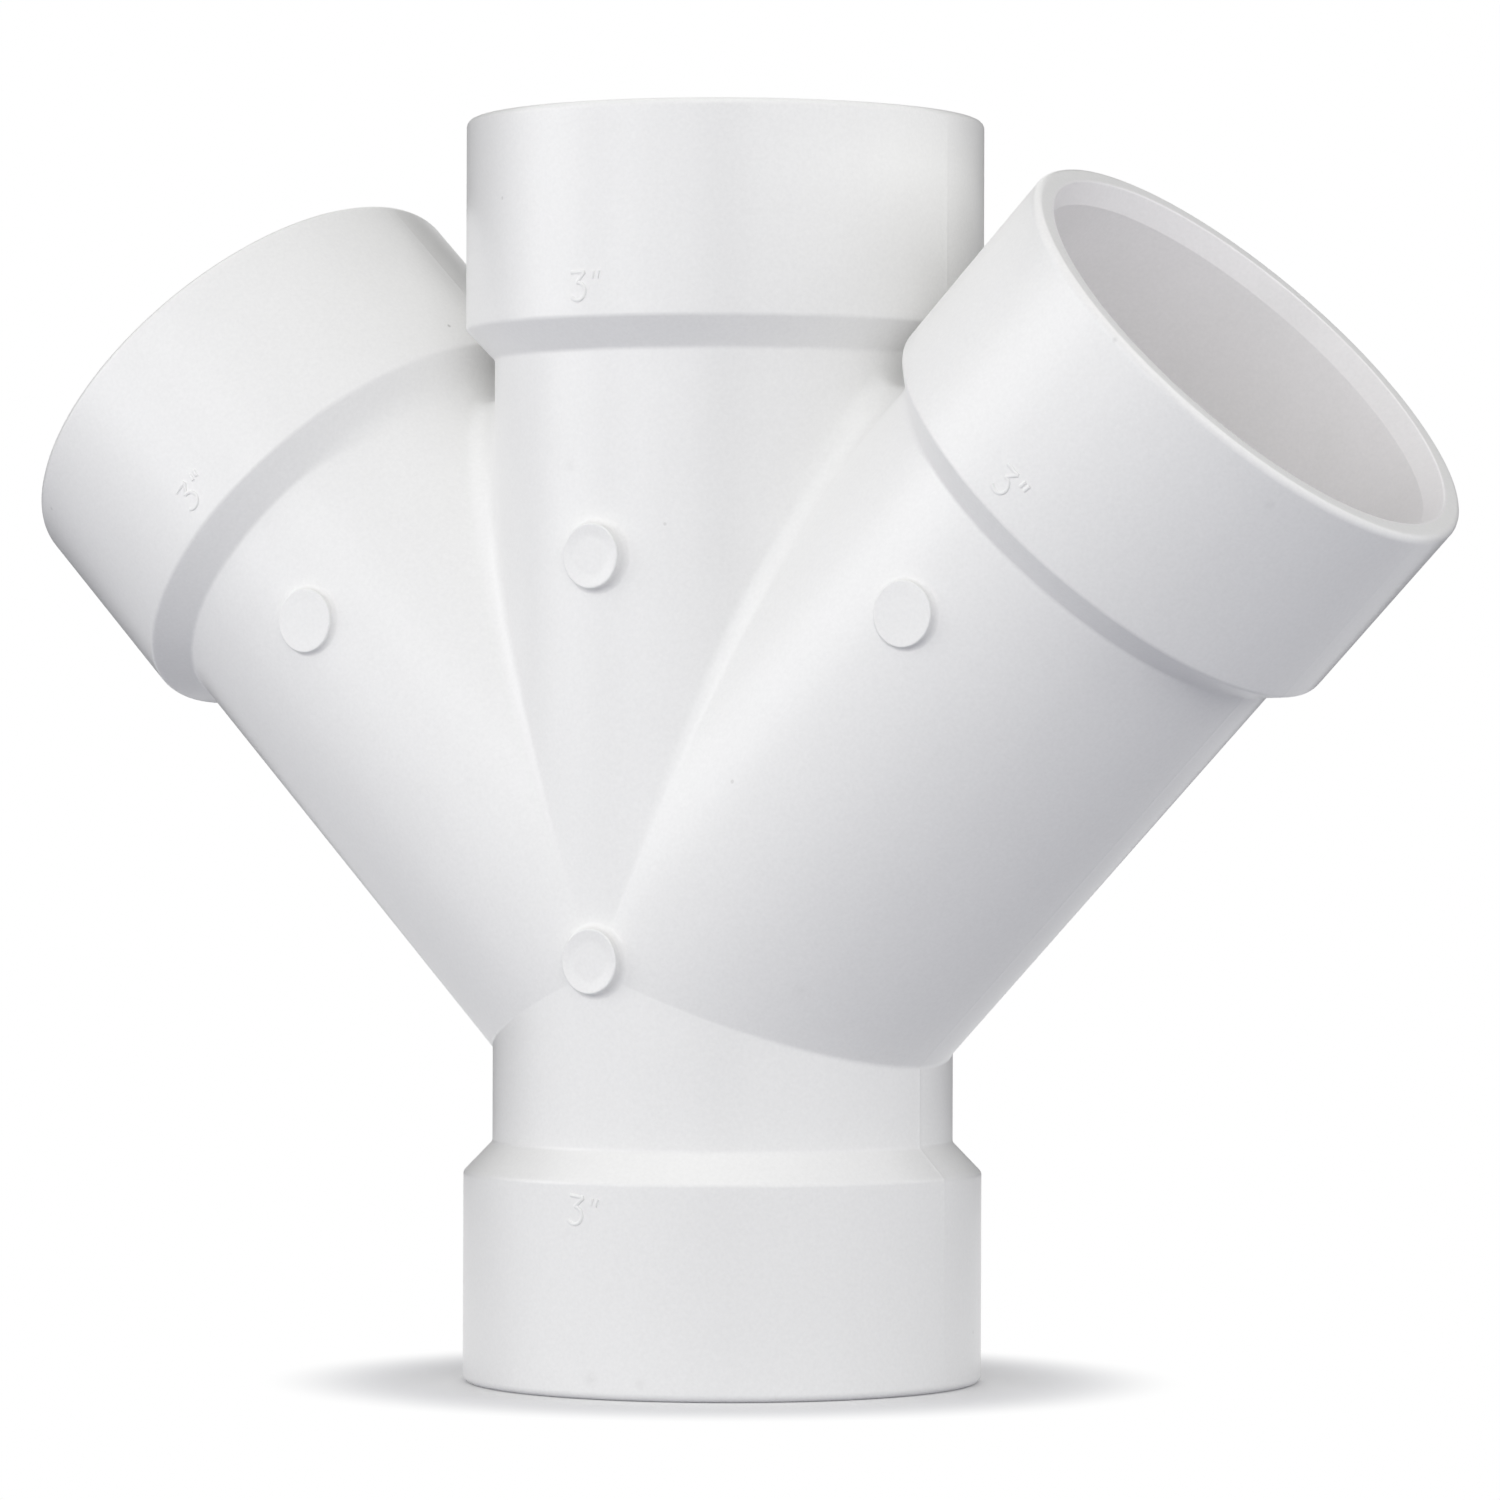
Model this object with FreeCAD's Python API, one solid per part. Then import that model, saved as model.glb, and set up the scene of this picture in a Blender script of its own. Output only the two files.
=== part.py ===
"""Double wye for 3 inch drain pipe: one moulded piece with four sockets.

A straight run stands upright on its lower socket, and two branches leave it at
the same height, one to each side, at 45 degrees. All axes lie in the XZ plane,
which is also the parting plane: the front half, towards -Y, is built first and
its mirror image closes the fitting, as the two halves of a mould do.
The part's origin is the centre of the bottom rim, +Z runs up the straight run,
the branches lean towards +X and -X, and the four round moulding pads face -Y.
Lengths are in millimetres and angles in degrees.
"""
import FreeCAD, Part
import math
import os
from FreeCAD import Vector

# the pipe that the sockets take
pipe_diameter = 88.9
socket_clearance = 0.1      # between the pipe and the socket wall, on the radius
socket_depth = 38.1         # how far the pipe goes in, from the rim to the stop

# walls and waterway
waterway_diameter = 78.0
body_wall = 5.6
hub_wall = 5.65

# the mouth of each socket
mouth_bevel_depth = 4.5
mouth_bevel_width = 1.45
rim_bevel_width = 0.8       # on the outer edge of each rim

# the hubs, which are the thicker ends around the sockets
hub_past_stop = 2.5         # length of full hub below the level of the stop
shoulder_length = 5.8       # length of the cone from the hub down to the body

# laying lengths, each from the crossing of the axes to a pipe's end
lower_laying_length = 42.2
upper_laying_length = 125.6
branch_laying_length = 125.6
branch_angle = 45.0         # between the run and each branch

# rounds where the tubes meet
upper_crease_round = 5.0
lower_crease_round = 1.5

# round pads that the ejector pins press on
pad_diameter = 12.4
pad_height = 2.2            # above the crown of the tube
pad_dish_diameter = 10.6
pad_dish_depth = 0.3
pad_dish_slope_width = 0.9  # from the dish's edge in to its flat floor
pad_root_depth = 3.0        # how far a pad reaches into the wall below the crown
junction_pad_height = 1.8   # above the crossing of the axes
run_pad_height = 78.2
branch_pad_distance = 95.2  # along the branch, from the crossing of the axes

# radii and levels that follow from the sizes above
socket_radius = pipe_diameter / 2 + socket_clearance
hub_radius = socket_radius + hub_wall
waterway_radius = waterway_diameter / 2
body_radius = waterway_radius + body_wall
mouth_radius = socket_radius + mouth_bevel_width
junction_height = lower_laying_length + socket_depth

up = Vector(0, 0, 1)
back = Vector(0, 1, 0)
crossing = Vector(0, 0, 0)

# the arms in order round the crossing: angle from +X towards +Z, laying length
arms = [
    (-90, lower_laying_length),
    (90 - branch_angle, branch_laying_length),
    (90, upper_laying_length),
    (90 + branch_angle, branch_laying_length),
]


def revolved(corners, sweep=180):
    """The solid that a closed outline of (radius, level) corners sweeps about Z.

    The sweep starts at -X and goes round the front, so half a turn is the front half.
    """
    points = [Vector(-radius, 0, level) for radius, level in corners]
    outline = Part.makePolygon(points + points[:1])
    return Part.Face(outline).revolve(crossing, up, sweep)


def pointed(solid, angle):
    """A solid made along +Z, turned about the crossing to point at an arm's angle."""
    copy = solid.copy()
    copy.rotate(crossing, back, 90 - angle)
    return copy


def tube(laying_length):
    """The outside of one arm's plain tube, from the crossing into its hub."""
    end = laying_length + socket_depth / 2
    return revolved([(0, 0), (body_radius, 0), (body_radius, end), (0, end)])


def hub(laying_length):
    """The outside of one socket: a cone up from the body, then the hub."""
    rim = laying_length + socket_depth
    hub_start = laying_length - hub_past_stop
    shoulder_start = hub_start - shoulder_length
    return revolved([
        (0, shoulder_start),
        (body_radius, shoulder_start),
        (hub_radius, hub_start),
        (hub_radius, rim - rim_bevel_width),
        (hub_radius - rim_bevel_width, rim),
        (0, rim),
    ])


def bore(laying_length):
    """The inside of one arm: waterway, stop, socket and bevelled mouth."""
    rim = laying_length + socket_depth
    bevel_slope = mouth_bevel_width / mouth_bevel_depth
    beyond = 1.0
    return revolved([
        (0, 0),
        (waterway_radius, 0),
        (waterway_radius, laying_length),
        (socket_radius, laying_length),
        (socket_radius, rim - mouth_bevel_depth),
        (mouth_radius + bevel_slope * beyond, rim + beyond),
        (0, rim + beyond),
    ])


def sector(first_angle, last_angle):
    """A wedge about the Y axis between two angles, wider than the whole fitting."""
    reach = 2 * (upper_laying_length + branch_laying_length)
    corners = [Vector(0, -reach, 0)]
    for angle in (first_angle, (first_angle + last_angle) / 2, last_angle):
        direction = math.radians(angle)
        across = reach * math.cos(direction)
        corners.append(Vector(across, -reach, reach * math.sin(direction)))
    wedge_face = Part.Face(Part.makePolygon(corners + corners[:1]))
    return wedge_face.extrude(back * 2 * reach)


def mitred(shape):
    """The front half of all four arms of one shape, as one solid.

    Each arm is cut on the planes midway to its neighbours, where equal tubes meet.
    """
    angles = [angle for angle, laying_length in arms]
    before = [angles[-1] - 360] + angles[:-1]
    after = angles[1:] + [angles[0] + 360]
    pieces = []
    for (angle, laying_length), previous, following in zip(arms, before, after):
        wedge = sector((previous + angle) / 2, (angle + following) / 2)
        pieces.append(pointed(shape(laying_length), angle).common(wedge))
    return pieces[0].fuse(pieces[1:]).removeSplitter()


def crown_plug():
    """A short cylinder through the wall where all the tubes' front crowns touch."""
    start = Vector(0, pad_root_depth - body_radius, junction_pad_height)
    return Part.makeCylinder(pad_diameter / 2, 2 * pad_root_depth, start, -back)


def creases(shape):
    """The elliptical edges where tubes meet, split into upper and lower ones."""
    ellipses = [e for e in shape.Edges if e.Curve.TypeId == "Part::GeomEllipse"]
    return ([e for e in ellipses if e.CenterOfMass.z > 0],
            [e for e in ellipses if e.CenterOfMass.z < 0])


def blended_tubes():
    """The front half of the tubes' outside, with rounded creases.

    The tubes are equally wide, so their creases run out at the crown, on the
    Y axis, where the tubes touch along no edge at all. The crown is lifted out
    while the creases are rounded, and then set back in.
    """
    joined = mitred(tube)
    plug = crown_plug()
    crown = joined.common(plug)
    rounded = joined.cut(plug)
    rounded = rounded.makeFillet(upper_crease_round, creases(rounded)[0])
    rounded = rounded.makeFillet(lower_crease_round, creases(rounded)[1])
    return rounded.fuse(crown)


def pad(x, z):
    """One round pad at (x, z) with a shallow flat dish, facing -Y."""
    radius = pad_diameter / 2
    dish_radius = pad_dish_diameter / 2
    root = body_radius - pad_root_depth
    face = body_radius + pad_height
    button = revolved([
        (0, root),
        (radius, root),
        (radius, face),
        (dish_radius, face),
        (dish_radius - pad_dish_slope_width, face - pad_dish_depth),
        (0, face - pad_dish_depth),
    ], 360)
    button.rotate(crossing, Vector(1, 0, 0), 90)
    button.translate(Vector(x, 0, z))
    return button


def pads():
    """Two pads up the run and one on each branch."""
    lean = math.radians(branch_angle)
    across = branch_pad_distance * math.sin(lean)
    branch_pad_height = branch_pad_distance * math.cos(lean)
    return [
        pad(0, junction_pad_height),
        pad(0, run_pad_height),
        pad(-across, branch_pad_height),
        pad(across, branch_pad_height),
    ]


def double_wye():
    """The whole fitting as one solid, standing on its lower socket."""
    hubs = [pointed(hub(laying_length), angle) for angle, laying_length in arms]
    waterway = mitred(bore)
    outside = blended_tubes().fuse(hubs)
    back_half = outside.cut(waterway).mirror(crossing, back)
    front_half = outside.fuse(pads()).cut(waterway)
    fitting = front_half.fuse(back_half).removeSplitter()
    if len(fitting.Solids) != 1:
        raise ValueError("at these sizes the two halves don't close into one solid")
    fitting.translate(up * junction_height)
    return fitting.Solids[0]


os.makedirs("parts", exist_ok=True)
double_wye().exportStep("parts/double_wye_fitting.step")
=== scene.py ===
"""The looks of a double wye for 3 inch drain pipe, in white moulded plastic.

The fitting is one moulded piece: a straight run with a branch to each side, four
hubs with sockets, round pads where the ejector pins press, and raised size marks.
"""

import math

import bmesh
import bpy
import numpy as np
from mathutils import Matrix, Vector


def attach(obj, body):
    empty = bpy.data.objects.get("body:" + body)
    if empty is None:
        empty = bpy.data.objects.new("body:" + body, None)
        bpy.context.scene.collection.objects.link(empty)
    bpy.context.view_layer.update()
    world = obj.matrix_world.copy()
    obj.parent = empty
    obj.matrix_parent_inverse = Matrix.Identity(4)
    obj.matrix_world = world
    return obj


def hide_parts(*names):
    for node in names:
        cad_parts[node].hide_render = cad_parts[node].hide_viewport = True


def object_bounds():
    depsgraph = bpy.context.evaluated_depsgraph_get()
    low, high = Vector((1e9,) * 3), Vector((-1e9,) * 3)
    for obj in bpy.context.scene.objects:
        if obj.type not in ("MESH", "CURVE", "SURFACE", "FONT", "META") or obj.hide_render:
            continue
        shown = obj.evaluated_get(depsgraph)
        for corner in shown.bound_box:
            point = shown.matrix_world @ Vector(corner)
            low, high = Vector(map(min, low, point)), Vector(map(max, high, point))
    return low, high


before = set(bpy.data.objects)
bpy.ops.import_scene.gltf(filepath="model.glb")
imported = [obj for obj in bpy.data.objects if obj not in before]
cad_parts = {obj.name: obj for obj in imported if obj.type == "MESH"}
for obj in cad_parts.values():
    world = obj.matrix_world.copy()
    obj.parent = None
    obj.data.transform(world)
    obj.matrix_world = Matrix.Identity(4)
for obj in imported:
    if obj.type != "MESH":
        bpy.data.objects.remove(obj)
cad_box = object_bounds()

bl_info = {
    "name": "Double wye fitting",
    "version": (1, 0, 0),
    "blender": (4, 5, 0),
    "location": "3D View > Sidebar > Double wye",
    "description": "Moulded double wye with its pads, size marks and studio",
    "category": "Add Mesh",
}

MM = 0.001

# Points closer than this become one, and edges sharper than this stay crisp
MERGE_DISTANCE = 0.001 * MM
CRISP_ANGLE = math.radians(32)

# Sizes of the moulding, which are the CAD's own
BODY_RADIUS = 44.6 * MM
HUB_RADIUS = 50.2 * MM
WATERWAY_RADIUS = 39.0 * MM
SOCKET_RADIUS = 44.55 * MM
MOUTH_RADIUS = 46.0 * MM
MOUTH_BEVEL_DEPTH = 4.5 * MM
SOCKET_DEPTH = 38.1 * MM
HUB_PAST_STOP = 2.5 * MM
SHOULDER_LENGTH = 5.8 * MM
JUNCTION_HEIGHT = 80.3 * MM

# Each arm's angle from +X towards +Z and its laying length, in order round the crossing
ARMS = {
    "lower": (math.radians(-90), 42.2 * MM),
    "right": (math.radians(45), 125.6 * MM),
    "upper": (math.radians(90), 125.6 * MM),
    "left": (math.radians(135), 125.6 * MM),
}

# How the moulding's mesh is divided and blended: rings on each crease's round and on
# each body, the least gap between a crease's round and the shoulder's foot, where the
# outline starts before that foot as a share of its round, and the length over which
# the parting line fades out before the rim
CREASE_RINGS = 11
BODY_RINGS = 8
LEAST_GAP = 0.1 * MM
FOOT_REACH = 0.45
LINE_FADE = 3.0 * MM

# The wide foot round sets in where the cosine round the arm goes from the first to
# the second of these
WIDE_FOOT_FROM = 0.3
WIDE_FOOT_FULL = 0.8

# Pads: across and above the crossing of the axes, how far the face lies before the
# parting plane, and the depth of the dish. Those on the branches stand lower.
PAD_PLACES = [
    (0.0, 1.8 * MM, 46.8 * MM, 0.3 * MM),
    (0.0, 78.2 * MM, 46.8 * MM, 0.3 * MM),
    (-67.25 * MM, 66.7 * MM, 45.9 * MM, 0.05 * MM),
    (68.2 * MM, 66.5 * MM, 45.9 * MM, 0.05 * MM),
]
PAD_RADIUS = 6.2 * MM
PAD_STEPS = 96

# Rounds on a dish's floor and rim, how far the pad's edge reaches down in edge
# rounds, how far its root's rings lie in the tube, and how far the pad goes in
DISH_FLOOR_ROUND = 6.0 * MM
DISH_RIM_ROUND = 0.3 * MM
PAD_EDGE_REACH = 1.3
PAD_ROOT_SINK = 0.02 * MM
PAD_ROOT_DEPTH = 3.0 * MM

# Size marks: arm, distance from the crossing to the figure's middle, how far the
# figure stands to the right of the arm's front line, and its tilt
MARK_PLACES = [
    ("upper", 128.8 * MM, -0.6 * MM, 0.0),
    ("lower", 44.8 * MM, -0.5 * MM, math.radians(-8)),
    ("left", 129.6 * MM, -0.9 * MM, 0.0),
    ("right", 129.2 * MM, 1.5 * MM, 0.0),
]

# Handling marks: place, radius and strength, each of which darkens the plastic
BLEMISHES = [
    ((-56.6 * MM, -12.5 * MM, 205.7 * MM), 0.55 * MM, 0.55),
    ((-6.3 * MM, -44.2 * MM, 175.8 * MM), 2.2 * MM, 0.05),
    ((38.7 * MM, -33.4 * MM, 77.1 * MM), 2.6 * MM, 0.05),
    ((2.9 * MM, -50.1 * MM, 3.8 * MM), 2.4 * MM, 0.07),
    ((13.1 * MM, -48.5 * MM, 3.2 * MM), 1.8 * MM, 0.06),
    ((115.3 * MM, -50.2 * MM, 195.2 * MM), 0.7 * MM, 0.25),
    ((138.0 * MM, -33.8 * MM, 165.8 * MM), 1.6 * MM, 0.06),
]

# The floor: its colour near the fitting, the one that dulls the light it throws up
# and how far, and where it turns from shaded to white, from the run's axis
FLOOR_COLOUR = (0.9, 0.9, 0.9, 1)
FLOOR_DULL_COLOUR = (0.295, 0.3, 0.355, 1)
FLOOR_DULL_SHARE = 0.8
FLOOR_SHADED_TO = 45 * MM
FLOOR_WHITE_FROM = 90 * MM
FLOOR_REACH = 4.0

# Dark cards: name, place on the floor, width and height, in metres
CARDS = [
    ("left_card", (-0.66, 0.22), 0.75, 0.8),
    ("right_card", (0.04, 0.69), 0.75, 0.8),
    ("camera_card", (0.89, -1.39), 0.6, 1.6),
]

# Soft boxes: name, degrees to the right of the camera and above the fitting's middle,
# distance, width and height in metres, watts, and whether the gloss reflects them
LAMPS = [
    ("left_box", -81, 15, 1.5, 0.8, 0.8, 3.6, True),
    ("left_strip", -45, 15, 1.5, 0.4, 0.8, 1.3, True),
    ("right_strip", 75, 15, 1.5, 0.4, 0.8, 4.5, False),
    ("front_box", 0, 8, 2.0, 1.2, 1.2, 12.8, False),
    ("front_left_box", -30, 8, 2.0, 1.2, 1.2, 6.9, False),
    ("back_box", 180, 15, 2.0, 0.6, 0.6, 7.0, False),
]


# Shapes as arrays

def unit(vectors):
    """Each vector divided by its own length."""
    return vectors / np.linalg.norm(vectors, axis=-1, keepdims=True)


def angles_round(steps, line_half_width):
    """Angles round an arm, even steps with a few more at the parting line.

    The set is the same when mirrored in the parting plane or across the arm, so
    the rims of two neighbouring arms have their points in the same places.
    """
    even = np.arange(steps) * (2 * np.pi / steps)
    close = np.array([-1.0, -0.5, 0.5, 1.0]) * line_half_width / BODY_RADIUS
    return np.sort(np.mod(np.concatenate([even, close, np.pi + close]), 2 * np.pi))


def parting_line(angles, height, half_width):
    """How far the parting line stands proud: height times a squared cosine over its width."""
    share = np.clip(np.abs(BODY_RADIUS * np.sin(angles)) / half_width, 0, 1)
    return height * np.cos(share * np.pi / 2) ** 2


def rounded_outline(corners, rounds, arc_steps=5, support=0.25 * MM):
    """A line through (along, radius) corners, each inner corner turned into an arc.

    An arc of radius r that turns the line by an angle w starts and ends r tan(w / 2)
    from its corner. Long straight stretches get a point just after and before an arc,
    which keeps their shading flat.
    """
    corners = np.array(corners, float)
    ways = unit(np.diff(corners, axis=0))
    parts = [corners[:1]]
    for corner, r, way_in, way_out in zip(corners[1:-1], rounds, ways[:-1], ways[1:]):
        half_turn = np.arccos(np.clip(way_in @ way_out, -1, 1)) / 2
        reach = r * np.tan(half_turn)
        first = corner - reach * way_in
        last = corner + reach * way_out
        middle = corner + unit(way_out - way_in) * r / np.cos(half_turn)
        share = np.linspace(0, 1, arc_steps + 1)[:, None]
        arc = middle + r * unit((1 - share) * (first - middle) + share * (last - middle))
        if np.linalg.norm(first - parts[-1][-1]) > 3 * support:
            parts.append((first - support * way_in)[None])
        parts.append(arc)
        parts.append((last + support * way_out)[None])
    parts.append(corners[-1:])
    return np.concatenate(parts)


def arm_outline(laying_length, foot_round, sizes):
    """The arm's section from the body over the hub and rim into the waterway.

    The foot round lies between the body and the shoulder. Returns the outline, and
    where along it the mouth begins.
    """
    rim = laying_length + SOCKET_DEPTH
    hub_start = laying_length - HUB_PAST_STOP
    shoulder_start = hub_start - SHOULDER_LENGTH
    rim_middle = (HUB_RADIUS + MOUTH_RADIUS) / 2
    outside = rounded_outline(
        [
            (shoulder_start - FOOT_REACH * foot_round, BODY_RADIUS),
            (shoulder_start, BODY_RADIUS),
            (hub_start, HUB_RADIUS),
            (rim, HUB_RADIUS),
            (rim, rim_middle),
        ],
        [foot_round, sizes.shoulder_round, sizes.rim_round],
    )
    inside = rounded_outline(
        [
            (rim, rim_middle),
            (rim, MOUTH_RADIUS),
            (rim - MOUTH_BEVEL_DEPTH, SOCKET_RADIUS),
            (laying_length, SOCKET_RADIUS),
            (laying_length, WATERWAY_RADIUS),
            (laying_length - 2 * sizes.inner_round, WATERWAY_RADIUS),
        ],
        [sizes.mouth_round] + [sizes.inner_round] * 3,
    )
    return np.concatenate([outside, inside[1:]]), len(outside)


def crease_arc(angles, half_angle, sharp_radius, roll, steps):
    """Half of the round between two equal tubes, as a ball of radius roll leaves it.

    In (along, across, depth) of the arm, with e = (0, cos a, sin a) pointing out of the
    tube at angle a, the ball's middle is (R + r) times (|cos a| cot h, cos a, sin a),
    where h is half the angle between the arms. The surface is that middle less r times
    a direction that turns from the mitre plane's, (|cos a| sin h cos h, cos a sin^2 h,
    sin a) made a unit, to e.
    """
    cosine = np.cos(angles)
    sine = np.sin(angles)
    sin_h = np.sin(half_angle)
    cos_h = np.cos(half_angle)
    ball = (sharp_radius + roll)[:, None] * np.stack(
        [np.abs(cosine) * cos_h / sin_h, cosine, sine], axis=-1)
    at_plane = unit(np.stack(
        [np.abs(cosine) * sin_h * cos_h, cosine * sin_h ** 2, sine], axis=-1))
    at_tube = np.stack([np.zeros_like(cosine), cosine, sine], axis=-1)
    share = np.linspace(0, 1, steps)[:, None, None]
    return ball - roll[:, None] * unit((1 - share) * at_plane + share * at_tube)


def arm_rings(name, angles, sizes):
    """Rings of points from an arm's outer crease, over its hub, to its inner crease.

    On the sides where a branch and the run face each other, the branch's shoulder has
    a wider foot round. Returns (rings, angles, 3) points in metres and the ring where
    the mouth begins.
    """
    names = list(ARMS)
    place = names.index(name)
    heading, laying_length = ARMS[name]
    before = (heading - ARMS[names[place - 1]][0]) % (2 * np.pi) / 2
    after = (ARMS[names[(place + 1) % 4]][0] - heading) % (2 * np.pi) / 2
    cosine = np.cos(angles)
    sine = np.sin(angles)
    half_angle = np.where(cosine > 0, after, before)
    slope = np.abs(cosine) / np.tan(half_angle)
    ridge = parting_line(angles, sizes.line_height, sizes.line_half_width)

    between_branch_and_run = half_angle < np.radians(45)
    crisp, mouth_ring = arm_outline(laying_length, sizes.shoulder_round, sizes)
    soft = arm_outline(laying_length, sizes.inner_foot_round, sizes)[0]
    lean = (np.abs(cosine) - WIDE_FOOT_FROM) / (WIDE_FOOT_FULL - WIDE_FOOT_FROM)
    lean = np.clip(lean, 0, 1)
    blend = np.where(between_branch_and_run, lean ** 2 * (3 - 2 * lean), 0)
    narrowest = crisp[0, 0] + blend * (soft[0, 0] - crisp[0, 0])
    if name == "upper":
        blend = np.zeros_like(blend)
    outline = crisp[:, None] + blend[:, None] * (soft - crisp)[:, None]
    body_end = outline[0, :, 0]
    radius = BODY_RADIUS + ridge
    roll = np.where(between_branch_and_run, sizes.upper_crease_round,
                    sizes.lower_crease_round)
    room = (narrowest - LEAST_GAP) / np.maximum(slope, 1e-6) - radius
    roll = np.minimum(roll, room)
    arc = crease_arc(angles, half_angle, radius, roll, CREASE_RINGS)

    contact = (radius + roll) * slope
    share = np.linspace(0, 1, BODY_RINGS + 2)[1:-1, None]
    body_along = contact + share * (body_end - contact)
    body = np.stack([body_along, np.broadcast_to(radius * cosine, body_along.shape),
                     np.broadcast_to(radius * sine, body_along.shape)], axis=-1)

    rim = laying_length + SOCKET_DEPTH
    line_end = rim - 1.5 * sizes.rim_round
    fade = np.clip((line_end - outline[..., 0]) / LINE_FADE, 0, 1)
    outside = np.arange(len(outline))[:, None] < mouth_ring
    radii = outline[..., 1] + np.where(outside, fade, 0) * ridge
    hub = np.stack([outline[..., 0], radii * cosine, radii * sine], axis=-1)

    inner = WATERWAY_RADIUS * np.stack([slope, cosine, sine], axis=-1)
    rings = np.concatenate([arc, body, hub, inner[None]])
    along = rings[..., :1] * [np.cos(heading), 0, np.sin(heading)]
    across = rings[..., 1:2] * [-np.sin(heading), 0, np.cos(heading)]
    depth = rings[..., 2:] * [0, 1, 0]
    points = along + across + depth + [0, 0, JUNCTION_HEIGHT]
    return points, len(arc) + len(body) + mouth_ring


def ring_quads(ring_count, per_ring, first=0):
    """Four-sided faces between neighbouring rings, each ring closed on itself."""
    ring = np.arange(ring_count - 1)[:, None]
    spot = np.arange(per_ring)[None, :]
    ahead = (spot + 1) % per_ring
    corners = np.stack([
        ring * per_ring + spot,
        (ring + 1) * per_ring + spot,
        (ring + 1) * per_ring + ahead,
        ring * per_ring + ahead,
    ], axis=-1)
    return corners.reshape(-1, 4) + first


def tube_front(x, height):
    """How far the joined tubes' front lies before the parting plane at (x, height).

    It is the largest of sqrt(R^2 - d^2) over the arms, with d the distance across each.
    An arm counts from a little before the crossing, so that no point there is missed.
    """
    headings = np.array([heading for heading, length in ARMS.values()])
    cosine = np.cos(headings)
    sine = np.sin(headings)
    along = np.multiply.outer(cosine, x) + np.multiply.outer(sine, height)
    across = np.multiply.outer(cosine, height) - np.multiply.outer(sine, x)
    depth = np.sqrt(np.maximum(BODY_RADIUS ** 2 - across ** 2, 0))
    return np.where(along > -LEAST_GAP, depth, 0).max(axis=0)


def pad_rings(x, height, front, dish_depth, sizes):
    """Rings of one pad from the middle of its dish, over its side, into the wall.

    A ring of radius p lies flat at its own depth. The dish rises to the round on the
    pad's edge. The root is a quarter round that starts on the side and runs out along
    the tube, so its rings follow the tube. On a low pad it shrinks to what the side
    leaves free.
    """
    edge_reach = PAD_EDGE_REACH * sizes.edge_round
    dish_radius = PAD_RADIUS - edge_reach
    face = rounded_outline(
        [
            (front - dish_depth, 0.0),
            (front - dish_depth, dish_radius - sizes.dish_slope),
            (front, dish_radius),
            (front, PAD_RADIUS),
            (front - edge_reach, PAD_RADIUS),
        ],
        [DISH_FLOOR_ROUND, DISH_RIM_ROUND, sizes.edge_round],
        support=0.05 * MM,
    )
    turn = np.linspace(0, np.pi / 2, 7)
    root_round = min(sizes.root_round, front - BODY_RADIUS - 1.5 * sizes.edge_round)
    root_radius = PAD_RADIUS + root_round * (1 - np.cos(turn))
    root_lift = root_round * (1 - np.sin(turn))
    angles = np.linspace(0, 2 * np.pi, PAD_STEPS, endpoint=False)
    radii = np.concatenate([face[:, 1], root_radius, root_radius[-1:], [0.0]])
    px = x + radii[:, None] * np.cos(angles)
    pz = height + radii[:, None] * np.sin(angles)
    tube = tube_front(px, pz)
    depth = np.concatenate([
        np.broadcast_to(face[:, :1], (len(face), PAD_STEPS)),
        tube[len(face):-2] + root_lift[:, None] - PAD_ROOT_SINK,
        np.full((2, PAD_STEPS), BODY_RADIUS - PAD_ROOT_DEPTH),
    ])
    return np.stack([px, -depth, pz + JUNCTION_HEIGHT], axis=-1)


def figure_strokes():
    """The lines of a three with a flat top, and of the two ticks for inches.

    They are in figure heights from the figure's middle, x to the right and y up. The
    bowl is most of a circle.
    """
    turn = np.radians(np.linspace(95, -140, 24))
    bowl = 0.31 * np.stack([np.cos(turn), np.sin(turn)], axis=-1) + [-0.01, -0.19]
    bar = [(-0.28, 0.48), (0.28, 0.48)]
    slant = [(0.28, 0.48), (-0.04, 0.12)]
    ticks = [[(x, 0.52), (x - 0.05, 0.25)] for x in (0.64, 0.84)]
    return [bar, slant, bowl, *ticks]


def wrapped_mark(points, name, distance, offset, tilt):
    """A flat mark laid round a hub: x becomes an arc of the hub, y runs up the arm.

    The mark stands upright as the fitting stands, so on the lower hub it points
    towards the crossing.
    """
    heading = ARMS[name][0] if name != "lower" else ARMS["upper"][0]
    level = distance if name != "lower" else -distance
    x = points[:, 0] * np.cos(tilt) - points[:, 1] * np.sin(tilt) + offset
    y = points[:, 0] * np.sin(tilt) + points[:, 1] * np.cos(tilt) + level
    radius = HUB_RADIUS + points[:, 2]
    across = radius * np.sin(x / HUB_RADIUS)
    depth = radius * np.cos(x / HUB_RADIUS)
    return np.stack([
        y * np.cos(heading) + across * np.sin(heading),
        -depth,
        y * np.sin(heading) - across * np.cos(heading) + JUNCTION_HEIGHT,
    ], axis=-1)


# Meshes and pieces

def smooth_shading(mesh):
    """Smooth shading, with the sharp edges kept crisp."""
    mesh.shade_smooth()
    mesh.set_sharp_from_angle(angle=CRISP_ANGLE)


def new_mesh(name, points, faces, materials, face_materials=None):
    """A mesh from arrays, with its doubles merged and its shading smooth."""
    mesh = bpy.data.meshes.new(name)
    mesh.from_pydata(points.reshape(-1, 3), [], faces)
    for material in materials:
        mesh.materials.append(material)
    if face_materials is not None:
        mesh.polygons.foreach_set("material_index", face_materials)
    work = bmesh.new()
    work.from_mesh(mesh)
    bmesh.ops.remove_doubles(work, verts=work.verts, dist=MERGE_DISTANCE)
    work.to_mesh(mesh)
    work.free()
    smooth_shading(mesh)
    return mesh


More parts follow.
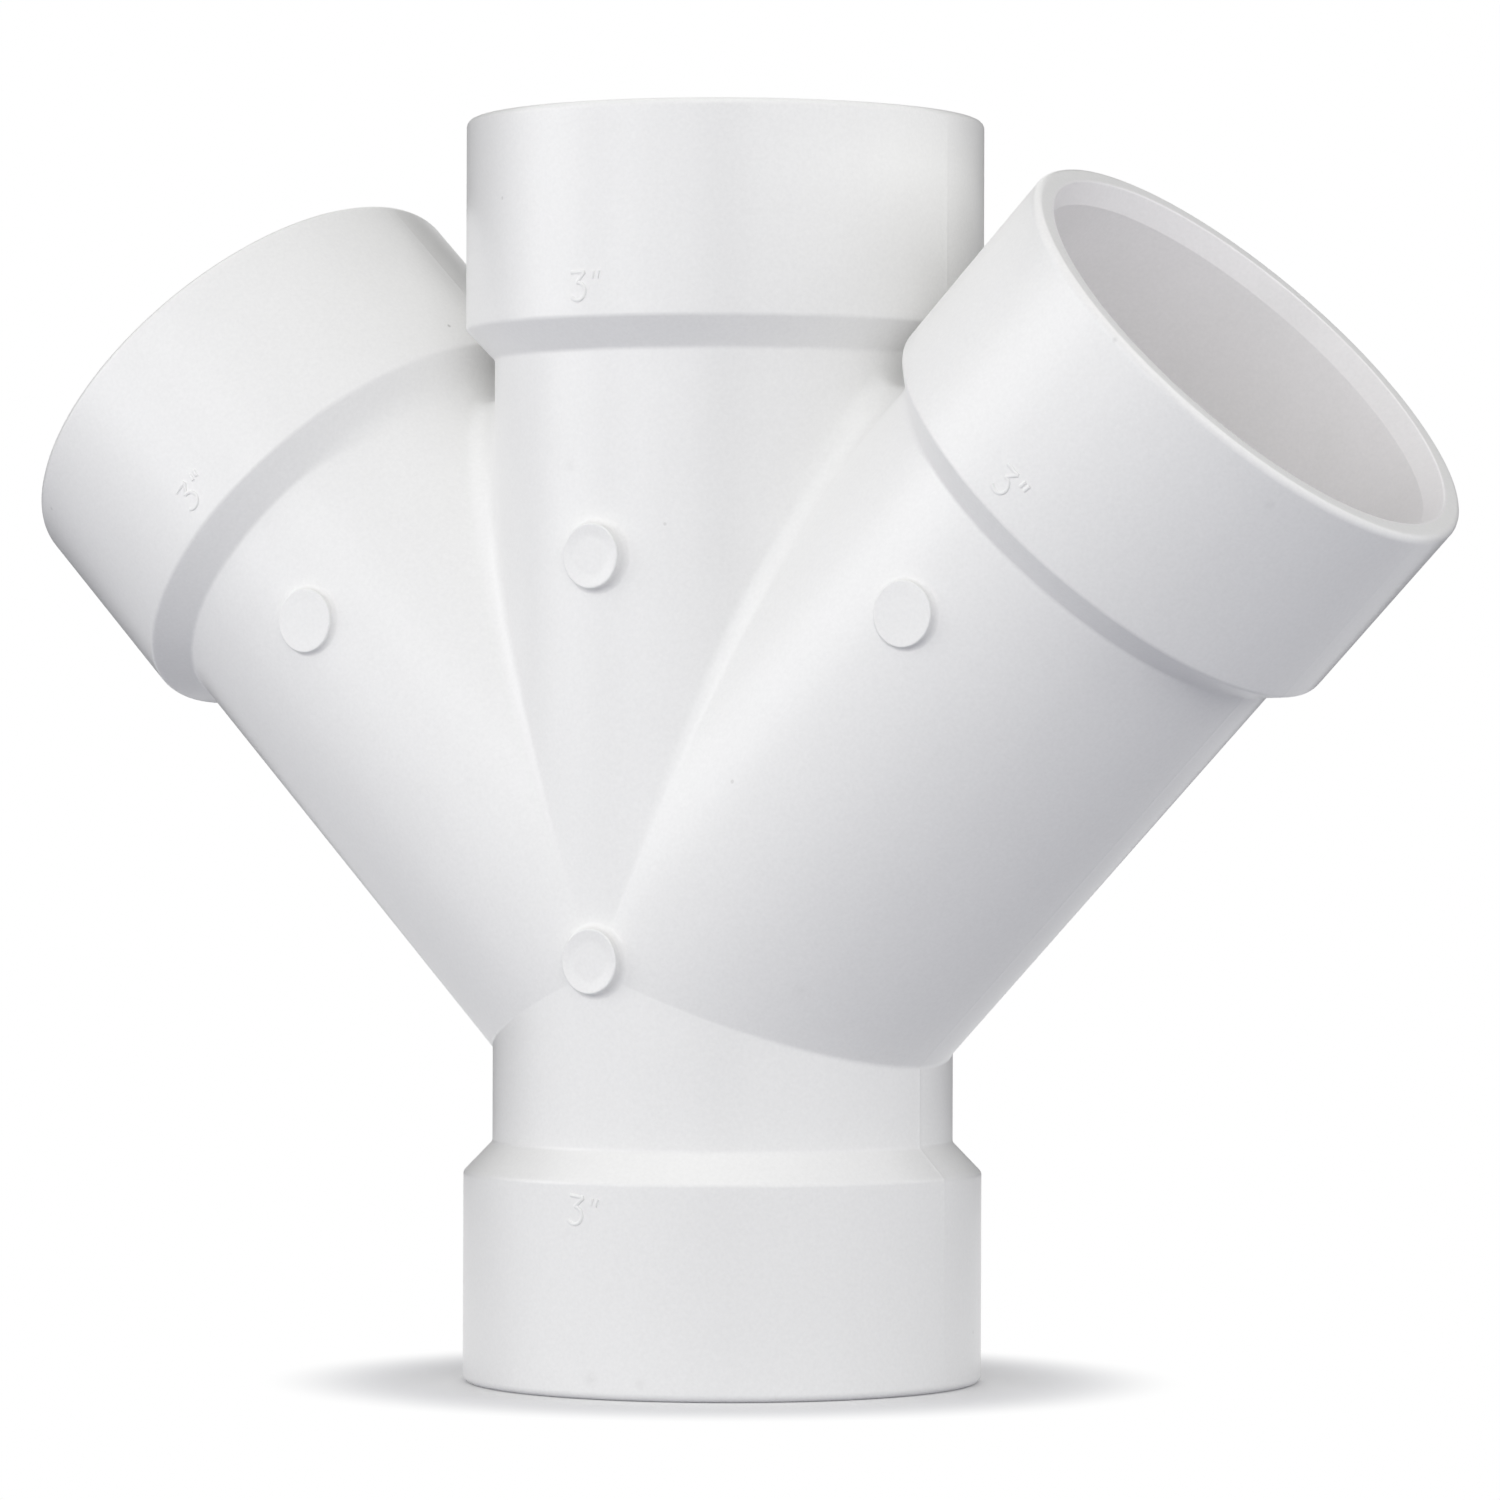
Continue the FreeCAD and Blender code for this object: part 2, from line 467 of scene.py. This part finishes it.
def new_piece(name, mesh):
    """An object of the fitting, riding on its one body; its mesh brings the plastic's finish."""
    piece = bpy.data.objects.new(name, mesh)
    bpy.context.scene.collection.objects.link(piece)
    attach(piece, "root")
    return piece


# Materials

def node_group(name, inputs, outputs):
    """An empty shader node group with the sockets named, or the one made before."""
    group = bpy.data.node_groups.get(name)
    if group is not None:
        return group, False
    group = bpy.data.node_groups.new(name, "ShaderNodeTree")
    for label, kind, value in inputs:
        socket = group.interface.new_socket(label, in_out="INPUT", socket_type=kind)
        if value is not None:
            socket.default_value = value
    for label, kind in outputs:
        group.interface.new_socket(label, in_out="OUTPUT", socket_type=kind)
    return group, True


def add_node(tree, kind, place, values=None, **settings):
    """One node at a place in the tree, with its input values and settings."""
    node = tree.nodes.new(kind)
    node.location = place
    for key, value in settings.items():
        setattr(node, key, value)
    for key, value in (values or {}).items():
        node.inputs[key].default_value = value
    return node


def seen_rays(tree, x, y):
    """The Light Path node, and an output that is 1 for what the camera sees.

    It is the largest of camera, glossy and transmission ray.
    """
    ray = add_node(tree, "ShaderNodeLightPath", (x, y))
    largest = ray.outputs["Is Camera Ray"]
    for label in ("Is Glossy Ray", "Is Transmission Ray"):
        x += 200
        both = add_node(tree, "ShaderNodeMath", (x, y), operation="MAXIMUM")
        tree.links.new(largest, both.inputs[0])
        tree.links.new(ray.outputs[label], both.inputs[1])
        largest = both.outputs["Value"]
    return ray, largest


def moulded_surface():
    """The group that tells a moulded surface's colour, roughness and height.

    The colour drifts a little over some 30 mm, as flow in the mould leaves it, and
    has rare small dark grains. The height is the mould's fine texture, which also
    mottles the colour very slightly.
    """
    group, fresh = node_group(
        "moulded_surface",
        [
            ("Colour", "NodeSocketColor", (0.8, 0.8, 0.8, 1)),
            ("Drift Colour", "NodeSocketColor", (0.75, 0.76, 0.78, 1)),
            ("Drift", "NodeSocketFloat", 0.3),
            ("Roughness", "NodeSocketFloat", 0.35),
            ("Roughness Spread", "NodeSocketFloat", 0.08),
            ("Texture Size", "NodeSocketFloat", 1500.0),
        ],
        [
            ("Colour", "NodeSocketColor"),
            ("Roughness", "NodeSocketFloat"),
            ("Height", "NodeSocketFloat"),
        ],
    )
    if not fresh:
        return group
    start = add_node(group, "NodeGroupInput", (-900, 0))
    end = add_node(group, "NodeGroupOutput", (900, 0))
    place = add_node(group, "ShaderNodeTexCoord", (-900, -300))
    links = group.links

    flow = add_node(group, "ShaderNodeTexNoise", (-650, 200),
                    {"Scale": 34.0, "Detail": 4.0, "Roughness": 0.55, "Distortion": 0.6})
    links.new(place.outputs["Object"], flow.inputs["Vector"])
    spread = add_node(group, "ShaderNodeMapRange", (-420, 200),
                      {"From Min": 0.4, "From Max": 0.7, "To Min": 0.0, "To Max": 1.0})
    links.new(flow.outputs["Fac"], spread.inputs["Value"])
    share = add_node(group, "ShaderNodeMath", (-200, 200), operation="MULTIPLY")
    links.new(spread.outputs["Result"], share.inputs[0])
    links.new(start.outputs["Drift"], share.inputs[1])
    tint = add_node(group, "ShaderNodeMix", (50, 200), data_type="RGBA")
    links.new(share.outputs["Value"], tint.inputs["Factor"])
    links.new(start.outputs["Colour"], tint.inputs["A"])
    links.new(start.outputs["Drift Colour"], tint.inputs["B"])

    grains = add_node(group, "ShaderNodeTexVoronoi", (-650, -100),
                      {"Scale": 45.0, "Randomness": 1.0}, feature="F1")
    links.new(place.outputs["Object"], grains.inputs["Vector"])
    grain_mask = add_node(group, "ShaderNodeMapRange", (-420, -100),
                          {"From Min": 0.012, "From Max": 0.022, "To Min": 0.25, "To Max": 0.0})
    links.new(grains.outputs["Distance"], grain_mask.inputs["Value"])
    speck = add_node(group, "ShaderNodeMix", (300, 100),
                     {"B": (0.30, 0.29, 0.28, 1)}, data_type="RGBA")
    links.new(grain_mask.outputs["Result"], speck.inputs["Factor"])
    links.new(tint.outputs["Result"], speck.inputs["A"])
    mottle = add_node(group, "ShaderNodeMapRange", (300, -150),
                      {"From Min": 0.3, "From Max": 0.7, "To Min": 0.0, "To Max": 0.1})
    mottled = add_node(group, "ShaderNodeMix", (550, 100),
                       {"B": (0.5, 0.5, 0.5, 1)}, data_type="RGBA")
    links.new(mottle.outputs["Result"], mottled.inputs["Factor"])
    links.new(speck.outputs["Result"], mottled.inputs["A"])
    links.new(mottled.outputs["Result"], end.inputs["Colour"])

    cloud = add_node(group, "ShaderNodeTexNoise", (-650, -400),
                     {"Scale": 60.0, "Detail": 5.0, "Roughness": 0.6})
    links.new(place.outputs["Object"], cloud.inputs["Vector"])
    centred = add_node(group, "ShaderNodeMath", (-420, -400), {1: 0.5}, operation="SUBTRACT")
    links.new(cloud.outputs["Fac"], centred.inputs[0])
    rough = add_node(group, "ShaderNodeMath", (-200, -400), operation="MULTIPLY_ADD")
    links.new(centred.outputs["Value"], rough.inputs[0])
    links.new(start.outputs["Roughness Spread"], rough.inputs[1])
    links.new(start.outputs["Roughness"], rough.inputs[2])
    links.new(rough.outputs["Value"], end.inputs["Roughness"])

    texture = add_node(group, "ShaderNodeTexNoise", (-200, -650),
                       {"Detail": 3.0, "Roughness": 0.6})
    links.new(place.outputs["Object"], texture.inputs["Vector"])
    links.new(start.outputs["Texture Size"], texture.inputs["Scale"])
    links.new(texture.outputs["Fac"], end.inputs["Height"])
    links.new(texture.outputs["Fac"], mottle.inputs["Value"])
    return group


def handling_marks():
    """The group that masks the few smudges and grains at their places on the fitting."""
    group, fresh = node_group("handling_marks", [], [("Mask", "NodeSocketFloat")])
    if not fresh:
        return group
    end = add_node(group, "NodeGroupOutput", (900, 0))
    place = add_node(group, "ShaderNodeTexCoord", (-900, 0))
    uneven = add_node(group, "ShaderNodeTexNoise", (-650, 300), {"Scale": 900.0, "Detail": 3.0})
    group.links.new(place.outputs["Object"], uneven.inputs["Vector"])
    total = None
    for i, (spot, radius, strength) in enumerate(BLEMISHES):
        gap = add_node(group, "ShaderNodeVectorMath", (-650, -200 * i), {1: spot},
                       operation="DISTANCE")
        group.links.new(place.outputs["Object"], gap.inputs[0])
        ragged = add_node(group, "ShaderNodeMath", (-450, -200 * i), {1: radius},
                          operation="MULTIPLY_ADD")
        group.links.new(uneven.outputs["Fac"], ragged.inputs[0])
        group.links.new(gap.outputs["Value"], ragged.inputs[2])
        mask = add_node(group, "ShaderNodeMapRange", (-250, -200 * i), {
            "From Min": 0.5 * radius, "From Max": 1.4 * radius, "To Min": strength, "To Max": 0.0})
        group.links.new(ragged.outputs["Value"], mask.inputs["Value"])
        if total is None:
            total = mask.outputs["Result"]
        else:
            both = add_node(group, "ShaderNodeMath", (0, -200 * i), operation="MAXIMUM")
            group.links.new(total, both.inputs[0])
            group.links.new(mask.outputs["Result"], both.inputs[1])
            total = both.outputs["Value"]
    group.links.new(total, end.inputs["Mask"])
    return group


def plastic(name, colour, roughness, texture_height):
    """White moulded plastic: the moulded surface's colour, roughness and fine bumps."""
    finish = bpy.context.scene.double_wye_finish
    material = bpy.data.materials.get(name)
    if material is not None:
        return material
    material = bpy.data.materials.new(name)
    material.use_nodes = True
    tree = material.node_tree
    shader = tree.nodes["Principled BSDF"]
    shader.inputs["IOR"].default_value = 1.53
    shader.inputs["Specular IOR Level"].default_value = 0.5
    material.diffuse_color = (*colour, 1)
    surface = add_node(tree, "ShaderNodeGroup", (-700, 200), node_tree=moulded_surface())
    surface.inputs["Colour"].default_value = (*colour, 1)
    surface.inputs["Drift Colour"].default_value = (*finish.drift_colour, 1)
    surface.inputs["Drift"].default_value = finish.drift
    surface.inputs["Roughness"].default_value = roughness
    bump = add_node(tree, "ShaderNodeBump", (-350, -200),
                    {"Strength": 0.5, "Distance": texture_height})
    marks = add_node(tree, "ShaderNodeGroup", (-700, 400), node_tree=handling_marks())
    marked = add_node(tree, "ShaderNodeMix", (-350, 300),
                      {"B": (0.2, 0.19, 0.18, 1)}, data_type="RGBA")
    tree.links.new(surface.outputs["Height"], bump.inputs["Height"])
    tree.links.new(marks.outputs["Mask"], marked.inputs["Factor"])
    tree.links.new(surface.outputs["Colour"], marked.inputs["A"])
    tree.links.new(marked.outputs["Result"], shader.inputs["Base Color"])
    tree.links.new(surface.outputs["Roughness"], shader.inputs["Roughness"])
    tree.links.new(bump.outputs["Normal"], shader.inputs["Normal"])
    return material


def outside_plastic():
    """The outside, which has the mould's fine texture."""
    finish = bpy.context.scene.double_wye_finish
    return plastic("pvc_outside", finish.colour, finish.roughness, finish.texture_height)


def bore_plastic():
    """The inside, which a polished core leaves smoother. Its colour is lighter than the outside's:
    painted light that brightens the bores.
    """
    finish = bpy.context.scene.double_wye_finish
    return plastic("pvc_bore", finish.lit_bore_colour, finish.bore_roughness,
                   0.5 * finish.texture_height)


# Settings

class FinishSettings(bpy.types.PropertyGroup):
    """Colours and gloss of the plastic"""
    colour: bpy.props.FloatVectorProperty(
        name="Colour", description="Plastic of the outside", subtype="COLOR",
        default=(0.922, 0.92, 0.91), min=0, max=1)
    # The bore colour is lighter than the outside's: painted light that brightens the bores.
    lit_bore_colour: bpy.props.FloatVectorProperty(
        name="Bore colour", description="Plastic of the bores", subtype="COLOR",
        default=(0.95, 0.935, 0.9375), min=0, max=1)
    drift_colour: bpy.props.FloatVectorProperty(
        name="Drift colour", description="Colour that the plastic drifts to", subtype="COLOR",
        default=(0.892, 0.89, 0.88), min=0, max=1)
    drift: bpy.props.FloatProperty(
        name="Drift", description="How far the plastic goes to the drift colour",
        subtype="FACTOR", default=0.35, min=0, max=1)
    roughness: bpy.props.FloatProperty(
        name="Roughness", description="Roughness of the outside", subtype="FACTOR",
        default=0.3, min=0, max=1)
    bore_roughness: bpy.props.FloatProperty(
        name="Bore roughness", description="Roughness of the bores", subtype="FACTOR",
        default=0.3, min=0, max=1)
    texture_height: bpy.props.FloatProperty(
        name="Texture height", description="Height of the mould's fine texture", unit="LENGTH",
        default=0.02 * MM, min=0, precision=6)


class MouldingSettings(bpy.types.PropertyGroup):
    """Rounds and parting line of the moulding"""
    upper_crease_round: bpy.props.FloatProperty(
        name="Upper crease round", description="Round between the run and each branch",
        unit="LENGTH", default=5.0 * MM, min=0.1 * MM)
    lower_crease_round: bpy.props.FloatProperty(
        name="Lower crease round", description="Round between the lower arm and each branch",
        unit="LENGTH", default=1.5 * MM, min=0.1 * MM)
    shoulder_round: bpy.props.FloatProperty(
        name="Shoulder round", description="Round at the foot and top of each shoulder",
        unit="LENGTH", default=1.2 * MM, min=0.1 * MM)
    inner_foot_round: bpy.props.FloatProperty(
        name="Inner foot round",
        description="Round at a branch shoulder's foot where it faces the run",
        unit="LENGTH", default=7.0 * MM, min=0.1 * MM, max=12 * MM)
    rim_round: bpy.props.FloatProperty(
        name="Rim round", description="Round on the outer edge of each rim",
        unit="LENGTH", default=1.4 * MM, min=0.1 * MM, max=2 * MM)
    mouth_round: bpy.props.FloatProperty(
        name="Mouth round", description="Round between each rim and its mouth",
        unit="LENGTH", default=0.4 * MM, min=0.1 * MM, max=1.5 * MM)
    inner_round: bpy.props.FloatProperty(
        name="Inner round", description="Round on the edges inside each socket",
        unit="LENGTH", default=0.3 * MM, min=0.05 * MM)
    line_height: bpy.props.FloatProperty(
        name="Line height", description="How proud the parting line stands",
        unit="LENGTH", default=0.06 * MM, min=0)
    line_half_width: bpy.props.FloatProperty(
        name="Line half width", description="Half the width of the parting line",
        unit="LENGTH", default=0.4 * MM, min=0.05 * MM)
    steps: bpy.props.IntProperty(
        name="Steps", description="Steps round each arm, a multiple of four",
        default=192, min=16, step=4)


class PadSettings(bpy.types.PropertyGroup):
    """Rounds and dish of the pads"""
    edge_round: bpy.props.FloatProperty(
        name="Edge round", description="Round on the edge of a pad's face",
        unit="LENGTH", default=0.3 * MM, min=0.05 * MM)
    dish_slope: bpy.props.FloatProperty(
        name="Dish slope",
        description="Width of the dish's slope, from the pad's edge in to its floor",
        unit="LENGTH", default=2.0 * MM, min=0.1 * MM, max=5 * MM)
    root_round: bpy.props.FloatProperty(
        name="Root round", description="Round between a pad and the tube",
        unit="LENGTH", default=1.2 * MM, min=0.05 * MM)


class MarkSettings(bpy.types.PropertyGroup):
    """The raised size marks"""
    figure_height: bpy.props.FloatProperty(
        name="Figure height", description="Height of the figure",
        unit="LENGTH", default=5.4 * MM, min=1 * MM)
    stroke_half_width: bpy.props.FloatProperty(
        name="Stroke half width", description="Half the width of the mark's strokes",
        unit="LENGTH", default=0.38 * MM, min=0.05 * MM)
    relief: bpy.props.FloatProperty(
        name="Relief", description="How proud the mark stands",
        unit="LENGTH", default=0.28 * MM, min=0.05 * MM)


class StudioSettings(bpy.types.PropertyGroup):
    """Camera, floor and light"""
    camera_place: bpy.props.FloatVectorProperty(
        name="Camera place", description="Where the camera stands", subtype="XYZ", unit="LENGTH",
        default=(0.718144, -1.113420, 0.114936))
    camera_turn: bpy.props.FloatVectorProperty(
        name="Camera turn", description="How the camera is turned",
        subtype="EULER", unit="ROTATION",
        default=(math.radians(90.31502), math.radians(-0.17367), math.radians(32.60012)))
    lens: bpy.props.FloatProperty(
        name="Lens", description="Focal length on a 36 mm sensor", unit="CAMERA",
        default=163.8963, min=1)
    ambient: bpy.props.FloatProperty(
        name="Ambient", description="Strength of the even light from all round",
        default=0.61, min=0)


# Operators

class DOUBLEWYE_OT_moulding(bpy.types.Operator):
    """Build the moulded body with its hubs and bores, in place of the CAD solid"""
    bl_idname = "double_wye.moulding"
    bl_label = "Build moulding"

    def execute(self, context):
        sizes = context.scene.double_wye_moulding
        if sizes.steps % 4:
            raise ValueError("the steps round an arm are a multiple of four")
        angles = angles_round(sizes.steps, sizes.line_half_width)
        points = []
        faces = []
        finishes = []
        first = 0
        for name in ARMS:
            rings, mouth_ring = arm_rings(name, angles, sizes)
            quads = ring_quads(len(rings), len(angles), first)
            points.append(rings.reshape(-1, 3))
            faces.append(quads)
            finishes.append(np.repeat(np.arange(len(rings) - 1) >= mouth_ring, len(angles)))
            first += len(rings) * len(angles)
        mesh = new_mesh("moulding", np.concatenate(points), np.concatenate(faces),
                        [outside_plastic(), bore_plastic()],
                        np.concatenate(finishes).astype(np.int32))
        piece = new_piece("moulding", mesh)
        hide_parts("double_wye_fitting")
        return {"FINISHED"}


class DOUBLEWYE_OT_pads(bpy.types.Operator):
    """Build the four round pads on the front"""
    bl_idname = "double_wye.pads"
    bl_label = "Build pads"

    def execute(self, context):
        sizes = context.scene.double_wye_pads
        rings = [pad_rings(*place, sizes) for place in PAD_PLACES]
        count, per_ring = rings[0].shape[:2]
        faces = [ring_quads(count, per_ring, i * count * per_ring) for i in range(len(rings))]
        mesh = new_mesh("ejector_pads", np.concatenate(rings), np.concatenate(faces),
                        [outside_plastic()])
        new_piece("ejector_pads", mesh)
        return {"FINISHED"}


class DOUBLEWYE_OT_marks(bpy.types.Operator):
    """Raise the pipe size on the front of each hub"""
    bl_idname = "double_wye.marks"
    bl_label = "Raise size marks"

    def execute(self, context):
        sizes = context.scene.double_wye_marks
        curve = bpy.data.curves.new("size_mark", "CURVE")
        curve.dimensions = "3D"
        curve.bevel_depth = sizes.stroke_half_width
        curve.bevel_resolution = 3
        curve.use_fill_caps = True
        for stroke in figure_strokes():
            spline = curve.splines.new("POLY")
            spline.points.add(len(stroke) - 1)
            for point, (x, y) in zip(spline.points, stroke):
                point.co = (x * sizes.figure_height, y * sizes.figure_height, 0, 1)
        writing = bpy.data.objects.new("size_mark", curve)
        context.scene.collection.objects.link(writing)
        context.view_layer.update()
        evaluated = writing.evaluated_get(context.evaluated_depsgraph_get())
        flat = bpy.data.meshes.new_from_object(evaluated)
        bpy.data.objects.remove(writing)
        co = np.zeros(len(flat.vertices) * 3)
        flat.vertices.foreach_get("co", co)
        co = co.reshape(-1, 3) * [1, 1, sizes.relief / sizes.stroke_half_width]
        work = bmesh.new()
        for place in MARK_PLACES:
            copy = flat.copy()
            copy.vertices.foreach_set("co", wrapped_mark(co, *place).ravel())
            work.from_mesh(copy)
            bpy.data.meshes.remove(copy)
        bmesh.ops.remove_doubles(work, verts=work.verts, dist=MERGE_DISTANCE)
        bmesh.ops.recalc_face_normals(work, faces=work.faces)
        mesh = bpy.data.meshes.new("size_marks")
        work.to_mesh(mesh)
        work.free()
        bpy.data.meshes.remove(flat)
        mesh.materials.append(outside_plastic())
        smooth_shading(mesh)
        new_piece("size_marks", mesh)
        return {"FINISHED"}


class DOUBLEWYE_OT_stage(bpy.types.Operator):
    """Set the pale floor, the soft studio light and the camera"""
    bl_idname = "double_wye.stage"
    bl_label = "Set stage"

    def execute(self, context):
        studio = context.scene.double_wye_studio
        self.floor(context)
        self.surroundings(context, studio)
        for card in CARDS:
            self.card(context, *card)
        for lamp in LAMPS:
            self.lamp(context, *lamp)
        self.camera(context, studio)
        context.scene.view_settings.view_transform = "Standard"
        return {"FINISHED"}

    def camera(self, context, studio):
        """The camera at the photo's view."""
        camera = bpy.data.cameras.new("studio_camera")
        camera.lens = studio.lens
        camera.sensor_width = 36
        camera.clip_start = 0.05
        camera.clip_end = 50
        view = bpy.data.objects.new("studio_camera", camera)
        view.location = studio.camera_place
        view.rotation_euler = studio.camera_turn
        context.scene.collection.objects.link(view)
        context.scene.camera = view

    def floor(self, context):
        """A wide flat floor, which shows the object's shadow and turns white away from it.

        It throws less light up at the fitting than its white look would.
        """
        corners = FLOOR_REACH * np.array([(-1, -1, 0), (1, -1, 0), (1, 1, 0), (-1, 1, 0)])
        mesh = bpy.data.meshes.new("studio_floor")
        mesh.from_pydata(corners, [], [(0, 1, 2, 3)])
        material = bpy.data.materials.new("studio_floor")
        material.use_nodes = True
        tree = material.node_tree
        tree.nodes.clear()
        out = add_node(tree, "ShaderNodeOutputMaterial", (700, 0))
        matt = add_node(tree, "ShaderNodeBsdfDiffuse", (0, 100))
        shade = add_node(tree, "ShaderNodeMix", (-200, 200),
                         {"A": FLOOR_COLOUR, "B": FLOOR_DULL_COLOUR}, data_type="RGBA")
        white = add_node(tree, "ShaderNodeEmission", (0, -100),
                         {"Color": (1, 1, 1, 1), "Strength": 1.0})
        place = add_node(tree, "ShaderNodeTexCoord", (-900, 0))
        distance = add_node(tree, "ShaderNodeVectorMath", (-700, 0), operation="LENGTH")
        away = add_node(tree, "ShaderNodeMapRange", (-500, 0),
                        {"From Min": FLOOR_SHADED_TO, "From Max": FLOOR_WHITE_FROM,
                         "To Min": 0.0, "To Max": 1.0},
                        interpolation_type="SMOOTHSTEP")
        ray, seen = seen_rays(tree, -700, -300)
        share = add_node(tree, "ShaderNodeMath", (-150, -150), operation="MULTIPLY")
        dimmed = add_node(tree, "ShaderNodeMath", (-500, 200), {1: FLOOR_DULL_SHARE},
                          operation="MULTIPLY")
        dull = add_node(tree, "ShaderNodeMath", (-350, 200), operation="MAXIMUM")
        mixed = add_node(tree, "ShaderNodeMixShader", (400, 0))
        links = tree.links
        links.new(place.outputs["Object"], distance.inputs[0])
        links.new(distance.outputs["Value"], away.inputs["Value"])
        links.new(away.outputs["Result"], dull.inputs[0])
        links.new(ray.outputs["Is Diffuse Ray"], dimmed.inputs[0])
        links.new(dimmed.outputs["Value"], dull.inputs[1])
        links.new(dull.outputs["Value"], shade.inputs["Factor"])
        links.new(shade.outputs["Result"], matt.inputs["Color"])
        links.new(away.outputs["Result"], share.inputs[0])
        links.new(seen, share.inputs[1])
        links.new(share.outputs["Value"], mixed.inputs["Fac"])
        links.new(matt.outputs["BSDF"], mixed.inputs[1])
        links.new(white.outputs["Emission"], mixed.inputs[2])
        links.new(mixed.outputs["Shader"], out.inputs["Surface"])
        mesh.materials.append(material)
        floor = bpy.data.objects.new("studio_floor", mesh)
        context.scene.collection.objects.link(floor)

    def card(self, context, name, place, width, height):
        """A dark upright card that the camera doesn't see, but the gloss reflects.

        It faces the fitting from its place on the floor. The two behind the fitting
        draw its edges against the white, and the third stands for the camera.
        """
        centre = np.array(place)
        sideways = unit(np.array([-centre[1], centre[0]])) * width / 2
        near = centre - sideways
        far = centre + sideways
        mesh = bpy.data.meshes.new(name)
        mesh.from_pydata(
            [(*near, 0), (*far, 0), (*far, height), (*near, height)], [], [(0, 1, 2, 3)])
        material = bpy.data.materials.get("studio_card") or bpy.data.materials.new("studio_card")
        material.use_nodes = True
        shader = material.node_tree.nodes["Principled BSDF"]
        shader.inputs["Base Color"].default_value = (0.03, 0.03, 0.03, 1)
        shader.inputs["Roughness"].default_value = 0.9
        mesh.materials.append(material)
        card = bpy.data.objects.new(name, mesh)
        card.visible_camera = False
        card.visible_shadow = False
        context.scene.collection.objects.link(card)

    def surroundings(self, context, studio):
        """White all round to the camera and in reflections, and an even light elsewhere."""
        world = bpy.data.worlds.new("studio")
        world.use_nodes = True
        tree = world.node_tree
        tree.nodes.clear()
        out = add_node(tree, "ShaderNodeOutputWorld", (600, 0))
        light = add_node(tree, "ShaderNodeBackground", (0, 100), {"Strength": studio.ambient})
        light.inputs["Color"].default_value = (1, 1, 1, 1)
        white = add_node(tree, "ShaderNodeBackground", (0, -100), {"Strength": 1.0})
        white.inputs["Color"].default_value = (1, 1, 1, 1)
        ray, seen = seen_rays(tree, -600, 0)
        mixed = add_node(tree, "ShaderNodeMixShader", (300, 0))
        links = tree.links
        links.new(seen, mixed.inputs["Fac"])
        links.new(light.outputs["Background"], mixed.inputs[1])
        links.new(white.outputs["Background"], mixed.inputs[2])
        links.new(mixed.outputs["Shader"], out.inputs["Surface"])
        context.scene.world = world

    def lamp(self, context, name, turn, lift, distance, width, height, power, in_gloss):
        """A soft box aimed at the middle of the fitting.

        It stands the turn to the right of the camera, as seen from the fitting's middle,
        and the lift above it.
        """
        light = bpy.data.lights.new(name, "AREA")
        light.shape = "RECTANGLE"
        light.size = width
        light.size_y = height
        light.energy = power
        lamp = bpy.data.objects.new(name, light)
        lamp.visible_glossy = in_gloss
        context.scene.collection.objects.link(lamp)
        middle = (cad_box[0] + cad_box[1]) / 2
        camera = context.scene.double_wye_studio.camera_place
        heading = math.atan2(camera[1] - middle[1], camera[0] - middle[0]) + math.radians(turn)
        rise = math.radians(lift)
        level = math.cos(rise)
        way = Vector((level * math.cos(heading), level * math.sin(heading), math.sin(rise)))
        lamp.location = middle + distance * way
        lamp.rotation_euler = (middle - lamp.location).to_track_quat("-Z", "Y").to_euler()


class DOUBLEWYE_PT_panel(bpy.types.Panel):
    """The fitting's settings and build steps"""
    bl_idname = "DOUBLEWYE_PT_panel"
    bl_label = "Double wye"
    bl_space_type = "VIEW_3D"
    bl_region_type = "UI"
    bl_category = "Double wye"

    def draw(self, context):
        layout = self.layout
        for title, settings, operator in [
            ("Finish", "double_wye_finish", None),
            ("Moulding", "double_wye_moulding", DOUBLEWYE_OT_moulding.bl_idname),
            ("Pads", "double_wye_pads", DOUBLEWYE_OT_pads.bl_idname),
            ("Size marks", "double_wye_marks", DOUBLEWYE_OT_marks.bl_idname),
            ("Studio", "double_wye_studio", DOUBLEWYE_OT_stage.bl_idname),
        ]:
            box = layout.box()
            box.label(text=title)
            group = getattr(context.scene, settings)
            for key in group.__annotations__:
                box.prop(group, key)
            if operator:
                box.operator(operator)


SETTINGS = {
    "double_wye_finish": FinishSettings,
    "double_wye_moulding": MouldingSettings,
    "double_wye_pads": PadSettings,
    "double_wye_marks": MarkSettings,
    "double_wye_studio": StudioSettings,
}
OPERATORS = [DOUBLEWYE_OT_moulding, DOUBLEWYE_OT_pads, DOUBLEWYE_OT_marks, DOUBLEWYE_OT_stage]


def register():
    """Add the settings, operators and panel."""
    for name, settings in SETTINGS.items():
        bpy.utils.register_class(settings)
        setattr(bpy.types.Scene, name, bpy.props.PointerProperty(type=settings))
    for operator in OPERATORS:
        bpy.utils.register_class(operator)
    bpy.utils.register_class(DOUBLEWYE_PT_panel)


def unregister():
    """Take the settings, operators and panel away again."""
    bpy.utils.unregister_class(DOUBLEWYE_PT_panel)
    for operator in reversed(OPERATORS):
        bpy.utils.unregister_class(operator)
    for name, settings in SETTINGS.items():
        delattr(bpy.types.Scene, name)
        bpy.utils.unregister_class(settings)


def main():
    register()
    bpy.ops.double_wye.moulding()
    bpy.ops.double_wye.pads()
    bpy.ops.double_wye.marks()
    bpy.ops.double_wye.stage()


if __name__ == "__main__":
    main()
